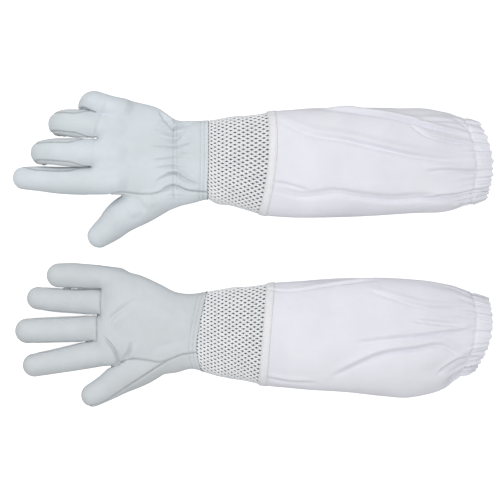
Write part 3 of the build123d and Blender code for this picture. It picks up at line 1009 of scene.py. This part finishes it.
def hideGroup():
    # fine goatskin grain, soft mottling and painted shade along the seams, in patches
    tree, given, out = shaderGroup("goatskin", Base=(0.64, 0.69, 0.73), Shade=(0.58, 0.62, 0.65),
                                   Grime=(0.34, 0.36, 0.36))
    links = tree.links
    inSpace = tree.nodes.new("ShaderNodeTexCoord").outputs["Object"]
    cells = plainNode(tree, "ShaderNodeTexVoronoi", {"Scale": 1150, "Smoothness": 0.4}, feature="SMOOTH_F1")
    bend = plainNode(tree, "ShaderNodeVectorMath", {}, operation="ADD")
    warp = plainNode(tree, "ShaderNodeTexNoise", {"Scale": 260, "Detail": 2})
    small = plainNode(tree, "ShaderNodeVectorMath", {"Scale": 0.0012}, operation="SCALE")
    links.new(inSpace, warp.inputs["Vector"])
    links.new(warp.outputs["Color"], small.inputs[0])
    links.new(inSpace, bend.inputs[0])
    links.new(small.outputs[0], bend.inputs[1])
    links.new(bend.outputs[0], cells.inputs["Vector"])
    pores = noiseNode(tree, inSpace, 2600, 3, 0.6)
    drift = noiseNode(tree, inSpace, 90, 4, 0.55)
    grain = mathNode(tree, "MULTIPLY", cells.outputs["Distance"], 0.75)
    grain = mathNode(tree, "MULTIPLY_ADD", pores, 0.3, grain)
    height = mathNode(tree, "MULTIPLY_ADD", drift, 0.8, grain)
    broad = noiseNode(tree, inSpace, 26, 5, 0.6)
    tone = rangeNode(tree, broad, 0.38, 0.64, 0.0, 1.0)
    pale = mixNode(tree, tone, given.outputs["Base"], given.outputs["Shade"])
    # near each seam the colour runs toward a dark grey in patches: painted shade along the seams
    seam = plainNode(tree, "ShaderNodeAttribute", {}, attribute_name="sewn")
    patchy = rangeNode(tree, noiseNode(tree, inSpace, 160, 3), 0.3, 0.7, 0.45, 0.9)
    seamShadeMask = mathNode(tree, "MULTIPLY", seam.outputs["Fac"], patchy)
    links.new(mixNode(tree, seamShadeMask, pale, given.outputs["Grime"]), out.inputs["Color"])
    links.new(height, out.inputs["Height"])
    links.new(rangeNode(tree, drift, 0.3, 0.7, 0.52, 0.68), out.inputs["Roughness"])
    return tree


def clothGroup():
    # plain weave read from the cloth's own map, in millimetres
    tree, given, out = shaderGroup("weave", Base=(0.8, 0.8, 0.87), Shade=(0.72, 0.72, 0.79), Pitch=0.55)
    links = tree.links
    cloth = plainNode(tree, "ShaderNodeUVMap", {}, uv_map="cloth")
    parts = tree.nodes.new("ShaderNodeSeparateXYZ")
    links.new(cloth.outputs["UV"], parts.inputs[0])
    turns = []
    for axis in "XY":
        count = mathNode(tree, "DIVIDE", parts.outputs[axis], given.outputs["Pitch"])
        turns.append(mathNode(tree, "MULTIPLY", count, 2 * pi))
    waves = [mathNode(tree, "SINE", turn) for turn in turns]
    crossed = mathNode(tree, "MULTIPLY", waves[0], waves[1])
    thread = noiseNode(tree, cloth.outputs["UV"], 2.4, 3)
    height = mathNode(tree, "MULTIPLY_ADD", crossed, 0.35, thread)
    inSpace = tree.nodes.new("ShaderNodeTexCoord").outputs["Object"]
    broad = noiseNode(tree, inSpace, 24, 4, 0.55)
    slub = noiseNode(tree, inSpace, 700, 3, 0.6)
    tone = rangeNode(tree, mathNode(tree, "MULTIPLY_ADD", slub, 0.25, broad), 0.5, 0.78, 0.0, 1.0)
    links.new(mixNode(tree, tone, given.outputs["Base"], given.outputs["Shade"]), out.inputs["Color"])
    links.new(height, out.inputs["Height"])
    links.new(rangeNode(tree, slub, 0.3, 0.7, 0.8, 0.95), out.inputs["Roughness"])
    return tree


def yarnGroup():
    # knitted or twisted thread, read in the object's own space
    tree, given, out = shaderGroup("yarn", Base=(0.8, 0.81, 0.83), Shade=(0.6, 0.61, 0.64), Fineness=1500.0)
    links = tree.links
    inSpace = tree.nodes.new("ShaderNodeTexCoord").outputs["Object"]
    fibre = plainNode(tree, "ShaderNodeTexWave", {"Distortion": 3.0, "Detail": 2.0},
                      bands_direction="DIAGONAL")
    links.new(inSpace, fibre.inputs["Vector"])
    links.new(given.outputs["Fineness"], fibre.inputs["Scale"])
    fuzz = noiseNode(tree, inSpace, 1800, 3, 0.6)
    tone = rangeNode(tree, noiseNode(tree, inSpace, 60, 3), 0.35, 0.65, 0.0, 0.7)
    links.new(mixNode(tree, tone, given.outputs["Base"], given.outputs["Shade"]), out.inputs["Color"])
    links.new(mathNode(tree, "MULTIPLY_ADD", fuzz, 0.4, fibre.outputs["Fac"]), out.inputs["Height"])
    links.new(rangeNode(tree, fuzz, 0.3, 0.7, 0.6, 0.85), out.inputs["Roughness"])
    return tree


groups = {"goatskin": hideGroup(), "weave": clothGroup(), "yarn": yarnGroup()}


# material, kind, base colour, shade, bump strength, bump depth, sheen
looks = {
    "leatherRight": ("goatskin_back", "goatskin", (0.7, 0.755, 0.8), (0.655, 0.705, 0.735), 0.3, 0.0004, 0.1),
    "leatherLeft": ("goatskin_palm", "goatskin", (0.645, 0.685, 0.71), (0.6, 0.635, 0.655), 0.3, 0.0004, 0.1),
    "leatherSide": ("goatskin_side", "goatskin", (0.66, 0.705, 0.735), (0.61, 0.65, 0.675), 0.3, 0.0004, 0.1),
    "canvas": ("cotton_canvas", "weave", (0.85, 0.85, 0.915), (0.81, 0.81, 0.875), 0.35, 0.00025, 0.2),
    "band": ("hem_band", "weave", (0.90, 0.90, 0.93), (0.85, 0.85, 0.88), 0.5, 0.0004, 0.2),
    "net": ("polyester_net", "yarn", (0.90, 0.915, 0.93), (0.84, 0.855, 0.88), 0.3, 0.0002, 0.0),
    # spacer and innerNet are dark grey as painted shade: they darken the holes of the white net
    "spacer": ("spacer_net_painted_shade", "yarn", (0.30, 0.31, 0.33), (0.22, 0.225, 0.24), 0.4, 0.0003, 0.0),
    "innerNet": ("inner_net_painted_shade", "yarn", (0.42, 0.43, 0.45), (0.32, 0.33, 0.35), 0.5, 0.0003, 0.0),
    "elastic": ("knitted_elastic", "yarn", (0.8, 0.8, 0.8), (0.7, 0.7, 0.7), 0.5, 0.0003, 0.0),
    "thread": ("sewing_thread", "yarn", (0.60, 0.635, 0.65), (0.50, 0.53, 0.545), 0.3, 0.0001, 0.0),
}
bandWeave = 0.8    # mm between threads of the hem band
gloss = 0.3


def finish(name, kind, base, shade, bump, depth, sheen):
    material = bpy.data.materials.new(name)
    material.use_nodes = True
    tree = material.node_tree
    shader = tree.nodes["Principled BSDF"]
    group = tree.nodes.new("ShaderNodeGroup")
    group.node_tree = groups[kind]
    group.inputs["Base"].default_value = (*base, 1)
    group.inputs["Shade"].default_value = (*shade, 1)
    if name == "hem_band":
        group.inputs["Pitch"].default_value = bandWeave
    raised = plainNode(tree, "ShaderNodeBump", {"Strength": bump, "Distance": depth})
    for out, into in ((group.outputs["Color"], shader.inputs["Base Color"]),
                      (group.outputs["Roughness"], shader.inputs["Roughness"]),
                      (group.outputs["Height"], raised.inputs["Height"]),
                      (raised.outputs["Normal"], shader.inputs["Normal"])):
        tree.links.new(out, into)
    shader.inputs["Sheen Weight"].default_value = sheen
    shader.inputs["Specular IOR Level"].default_value = gloss
    return material


finishes = {label: finish(*look) for label, look in looks.items()}
print("finishes made:", len(finishes))

strands = strandTree()
stitchLine = stitchTree()


# where each bend would start, and how far it would spread out: fold() bends nothing and only bakes each
# piece's transform
bends = {"thumb": ((-119.0, -36.0), (-35.0, -49.5)), "thumbRun": 20, "knuckleRun": 15, "wrist": (16, -26)}


def fold(obj, kind):
    if kind == "wrist":
        start, end = bends["wrist"]
        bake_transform(obj)
    elif kind == "thumb":
        a, b = np.array(bends["thumb"])
        run = (b - a) / np.linalg.norm(b - a)
        out = np.array([run[1], -run[0]])
        start = a + out * 0.5
        end = start + out * bends["thumbRun"]
        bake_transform(obj)
    else:
        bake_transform(obj)


def makeHand(side):
    hand = hands[side]
    points, faces = buildSkin(side)
    points, faces, labels = cutHand(side, points, faces)
    plainPoints = points
    points = dressSkin(side, points, faces, labels)
    normals = pointNormals(points, faces)
    # sewn is the mask of the painted shade along the seams, read by the leather's finish
    sewn = np.exp(-(nearest(seamPoints(plainPoints, faces, labels), plainPoints, 5.0) / 0.9) ** 2)
    leather = finishes["leatherRight" if side == "right" else "leatherLeft"]
    for name in labelNames:
        mine = faces[labels == labelOf[name]]
        p, f, n, s = onlyUsed(points, mine, normals, sewn)
        p, f, n = walled(p, f, n, skin["leather"])
        sideways = "fourchette" in name
        obj = piece(side, f"{side}_{name}_leather", p, f, n, finishes["leatherSide"] if sideways else leather)
        mask = obj.data.attributes.new("sewn", "FLOAT", "POINT")
        mask.data.foreach_set("value", np.concatenate([s, s * 0]).astype(np.float32))
        kind = name.split("_")[0]
        fold(obj, kind if kind in fingerNames + ("thumb",) and name != "thumb_gusset" else "wrist")
        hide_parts(f"{side}_{name}")
    surface = BVHTree.FromPolygons(points.tolist(), faces.tolist())

    # the leather turned in at the cuff, and the elastic inside the back of the wrist
    up = 1 if hand["up"] == "back" else -1
    middle = points[faces].mean(1)
    turned = middle[:, 0] - cuffEdge(side, middle) > -9
    taped = np.abs(middle[:, 0] - wristElastic["x"]) < wristElastic["half"]
    taped &= normals[faces].mean(1)[:, 2] * up > 0.8
    for name, which, look, slot in (("cuff_facing", turned, "leatherSide", "leather_side"),
                                    ("wrist_elastic", taped, "elastic", "elastic")):
        p, f, n = onlyUsed(points, faces[which], normals)
        p, f, n = walled(p - n * skin["tapeInset"], f, n, skin["tape"])
        obj = piece(side, f"{side}_{name}_tape", p, f, n, finishes[look])
        fold(obj, "wrist")
        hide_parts(f"{side}_{name}")
    print(side, "hand:", len(faces), "faces")
    return surface


def aimed(surface, starts, ways, lift=0.0):
    # where lines from the starts meet the surface
    out = []
    for start, way in zip(starts, ways):
        hit, normal, _, _ = surface.ray_cast(Vector(start), Vector(way))
        if hit is not None:
            facing = normal if normal.dot(Vector(way)) < 0 else -normal
            out.append(np.array(hit) + np.array(facing) * lift)
    return np.array(out)


stitching = {"pitch": 2.9, "length": 2.1, "thickness": 0.55, "lift": 0.12}


def stitchPiece(side, name, paths, material, closed=False, **change):
    use = {**stitching, **change}
    values = {"Pitch": use["pitch"] * mm, "Length": use["length"] * mm, "Thickness": use["thickness"] * mm,
              "Seed": 7, "Material": material}
    return grownFrom(side, name, paths, stitchLine, values, closed)


def sewHand(side, surface):
    hand = hands[side]
    lift = stitching["lift"]
    rings = []
    for row in cuffRows:
        turn = np.linspace(0, 2 * pi, 160, endpoint=False)
        s = along(hand["palm"], [row])[0]
        ways = np.stack([0 * turn, np.cos(turn) * (s[1] - s[0]), np.sin(turn) * (s[3] - s[2])], 1)
        centre = np.array([0, (s[0] + s[1]) / 2, (s[2] + s[3]) / 2])
        centres = np.tile(centre, (len(turn), 1))
        centres[:, 0] = row + cuffEdge(side, centre + ways / 2)
        rings.append(aimed(surface, centres + ways * 1.5, -unit(ways), lift))
    cuff = stitchPiece(side, f"{side}_cuff_stitching", rings, finishes["thread"], closed=True)
    fold(cuff, "wrist")
    up = 1 if hand["up"] == "back" else -1
    rows = []
    for x in wristElastic["rows"]:
        ys = np.linspace(wristElastic["low"], wristElastic["high"], 60)
        starts = np.stack([0 * ys + x, ys, 0 * ys + 30 + 60 * up], 1)
        rows.append(aimed(surface, starts, np.tile((0, 0, -up), (len(ys), 1)), lift))
    wrist = stitchPiece(side, f"{side}_wrist_stitching", rows, finishes["thread"])
    fold(wrist, "wrist")


# each wire of the net is two yarns side by side that part round a hole
net = {"pitch": 2.3, "wave": 7.4, "swing": 0.84, "thickness": 1.16, "spread": 0.55, "sides": 5, "inset": 0.9}
spacer = {"yarns": 96, "step": 1.9, "depth": 2.25, "rise": 0.35, "thickness": 0.5}
innerNet = {"depth": 3.2, "thickness": 0.5}


def netPoints(side, x, turn, inset, floor):
    # the net starts inside the leather cuff and comes out to the sleeve's outline
    x, turn = np.broadcast_arrays(np.asarray(x, float), np.asarray(turn, float))
    plain = tube(side, x, turn)
    tucked = ease(2.5, -1.0, plain[:, 0] - cuffEdge(side, plain))
    return keepOff(tube(side, x, turn, inset + 1.3 * tucked), floor)


def evenly(outline, xs):
    # a function from shares of the girth to turns at each x, and the girth there
    rows = [evenTurns(outline, x, 1440) for x in xs]
    table = np.array([np.append(turns, 1.0) for turns, _ in rows])
    row = np.arange(len(xs))

    def turnOf(share):
        place = (share % 1) * 1440
        low = np.minimum(place.astype(int), 1439)
        part = place - low
        return table[row, low] * (1 - part) + table[row, low + 1] * part

    return turnOf, np.array([girth for _, girth in rows])


def makeCuff(side):
    outline = sleeves[side]["outline"]
    count = int(round(evenTurns(outline, 32, 1440)[1] / net["pitch"] / 2)) * 2
    start = sleeves[side]["netStart"]
    xs = np.arange(start, sleeve["meshEnd"] + 2.0, net["wave"] / 8)
    beat = np.cos(2 * pi * xs / net["wave"])
    swing = net["swing"] * np.sign(beat) * np.abs(beat) ** 2.2
    spread = net["spread"] * (1 - 0.2 * beat ** 2)
    turnOf, girth = evenly(outline, xs)
    paths = []
    for k in range(count):
        phase = 1 if k % 2 else -1
        for yarn in (-1, 1):
            turn = turnOf(k / count + (phase * swing + yarn * spread) / girth)
            paths.append(netPoints(side, xs, turn, net["inset"], 0.7))
    yarnLook = {"Thickness": net["thickness"] * mm, "Sides": net["sides"], "Material": finishes["net"]}
    outer = grownFrom(side, f"{side}_mesh_outer_net", paths, strands, yarnLook)
    # below the outer net, spacer yarns and an inner net in dark grey finishes: painted shade seen through the
    # holes
    paths = []
    fine = np.arange(start, sleeve["meshEnd"] + 1.0, spacer["step"])
    turnOf, girth = evenly(outline, fine)
    deep = spacer["depth"] + spacer["rise"] * np.where(np.arange(len(fine)) % 2, 1, -1)
    for k in range(spacer["yarns"]):
        turn = turnOf(k / spacer["yarns"] + 0.004 * np.cos(fine * 1.3 + k))
        paths.append(netPoints(side, fine, turn, deep, 2.0))
    core = grownFrom(side, f"{side}_mesh_spacer_yarn", paths, strands,
                     {"Thickness": spacer["thickness"] * mm, "Sides": 4, "Material": finishes["spacer"]})
    xs = np.linspace(start, sleeve["meshEnd"] + 1.0, 44)
    around, _ = evenTurns(outline, 32, 180)
    points, quads, grid = ringMesh(side, xs, around)
    points = netPoints(side, grid[:, 0], grid[:, 1], innerNet["depth"], 2.9)
    f = triangles(quads)
    p, f, n = walled(points, f, pointNormals(points, f), innerNet["thickness"])
    inner = piece(side, f"{side}_mesh_inner_net", p, f, n, finishes["innerNet"])
    for obj, node, slot in ((outer, "mesh_outer", "mesh_net"), (core, "mesh_spacer", "mesh_core"),
                            (inner, "mesh_inner", "mesh_net")):
        fold(obj, "wrist")
        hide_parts(f"{side}_{node}")
    print(side, "cuff:", count, "strands")


def clothMap(obj, grid, girth, layers=1):
    # the cloth's own map: along the sleeve and round it, in millimetres
    layer = obj.data.uv_layers.new(name="cloth")
    index = np.empty(len(obj.data.loops), np.int32)
    obj.data.loops.foreach_get("vertex_index", index)
    flat = np.tile(np.stack([grid[:, 0], grid[:, 1] * girth], 1), (layers, 1))
    uv = flat[index].reshape(-1, 3, 2)
    wrapped = (uv[:, :, 1].max(1) - uv[:, :, 1].min(1)) > girth / 2
    late = uv[wrapped]
    late[:, :, 1] += np.where(late[:, :, 1] < girth / 2, girth, 0)
    uv[wrapped] = late
    layer.data.foreach_set("uv", uv.reshape(-1).astype(np.float32))


def canvasPiece(side, name, xs, turns, inset, thickness, material, girth):
    p, f, n, grid = canvasSurface(side, xs, turns, inset)
    p, f, n = walled(p, f, n, thickness)
    p = keepOff(p)
    obj = piece(side, name, p, f, n, material)
    clothMap(obj, grid, girth, 2)
    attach(obj, f"{side}_sleeve")
    return obj


def makeSleeve(side):
    outline = sleeves[side]["outline"]
    turns, girth = evenTurns(outline, 180, sleeve["around"])
    end, casing = sleeve["length"], sleeve["casing"]
    coarse = np.linspace(sleeve["meshEnd"], 236, 94)
    # node, piece, places along the sleeve, inset, thickness, finish, slot
    layers = (("canvas_sleeve", "canvas_gauntlet", np.append(coarse, np.linspace(237.2, end, 52)), 0.0,
               sleeve["canvas"], "canvas", "canvas"),
              ("end_casing", "end_hem", np.linspace(end - casing, end, 18), 2.4,
               sleeve["canvas"], "canvas", "canvas"),
              ("end_elastic", "end_elastic_tape", np.linspace(end - 12, end - 5, 8), 1.1,
               0.8, "elastic", "elastic"),
              ("mesh_seam_band", "seam_band", np.linspace(sleeve["bandStart"], sleeve["bandEnd"], 14), -0.75,
               0.7, "band", "canvas"))
    for node, name, xs, inset, thickness, look, slot in layers:
        obj = canvasPiece(side, f"{side}_{name}", xs, turns, inset, thickness, finishes[look], girth)
        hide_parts(f"{side}_{node}")
    rows = []
    for x, out in ((sleeve["bandStart"] + 1.2, 0.9), (sleeve["bandEnd"] - 1.2, 0.9), (end - casing, 0.15)):
        p, _, n, _ = canvasSurface(side, np.array([x - 0.6, x, x + 0.6]), turns)
        ring = p[len(turns):2 * len(turns)] + n[len(turns):2 * len(turns)] * out
        rows.append(keepOff(ring, 0.3))
    sewing = stitchPiece(side, f"{side}_gauntlet_stitching", rows, finishes["band"], True, thickness=0.6)
    if sewing.data.uv_layers.get("cloth") is None:
        sewing.data.uv_layers.new(name="cloth")
    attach(sewing, f"{side}_sleeve")
    print(side, "sleeve: girth", round(girth))


for side in ("right", "left"):
    surface = makeHand(side)
    sewHand(side, surface)
    makeCuff(side)
    makeSleeve(side)


def lightbox(name, grey, strength):
    # a floor that looks white and sends little light back up
    material = bpy.data.materials.new(name)
    material.use_nodes = True
    tree = material.node_tree
    shader = tree.nodes["Principled BSDF"]
    shader.inputs["Base Color"].default_value = (grey, grey, grey, 1)
    shader.inputs["Roughness"].default_value = 0.9
    shader.inputs["Emission Color"].default_value = (1, 1, 1, 1)
    seen = tree.nodes.new("ShaderNodeLightPath").outputs["Is Camera Ray"]
    tree.links.new(mathNode(tree, "MULTIPLY", seen, strength), shader.inputs["Emission Strength"])
    return material


# lights: place, power, width
studio = {"floor": 0.9, "floorGrey": 0.6, "world": 0.45, "lens": 150, "subjectHeight": 0.02,
          "frameWidth": 0.525, "centre": (-0.0021, -0.00105),
          "lights": {"overhead": ((0.0, -0.12, 1.7), 14.6, 1.6), "side": ((-0.9, 0.9, 1.0), 5.0, 0.8)}}

bpy.ops.mesh.primitive_plane_add(size=8, location=(0, 0, -0.0004))
floor = bpy.context.object
floor.name = "floor"
floor.data.materials.append(lightbox("pale_floor", studio["floorGrey"], studio["floor"]))

world = bpy.data.worlds.new("studio")
world.use_nodes = True
world.node_tree.nodes["Background"].inputs["Color"].default_value = (1, 1, 1, 1)
sky = world.node_tree
fromCamera = sky.nodes.new("ShaderNodeLightPath").outputs["Is Camera Ray"]
extraWhite = mathNode(sky, "MULTIPLY", fromCamera, 1 - studio["world"])
sky.links.new(mathNode(sky, "ADD", extraWhite, studio["world"]), sky.nodes["Background"].inputs["Strength"])
bpy.context.scene.world = world


for name, (where, power, width) in studio["lights"].items():
    light = bpy.data.lights.new(name, "AREA")
    light.energy = power
    light.size = width
    obj = bpy.data.objects.new(name, light)
    obj.location = where
    obj.rotation_euler = (-Vector(where)).to_track_quat("-Z", "Y").to_euler()
    bpy.context.scene.collection.objects.link(obj)

camera = bpy.data.objects.new("camera", bpy.data.cameras.new("camera"))
camera.data.lens = studio["lens"]
camera.data.sensor_width = 36
distance = studio["frameWidth"] * studio["lens"] / 36
camera.location = (*studio["centre"], studio["subjectHeight"] + distance)
camera.data.clip_end = 50
bpy.context.scene.collection.objects.link(camera)
bpy.context.scene.camera = camera
bpy.context.scene.view_settings.view_transform = "Standard"
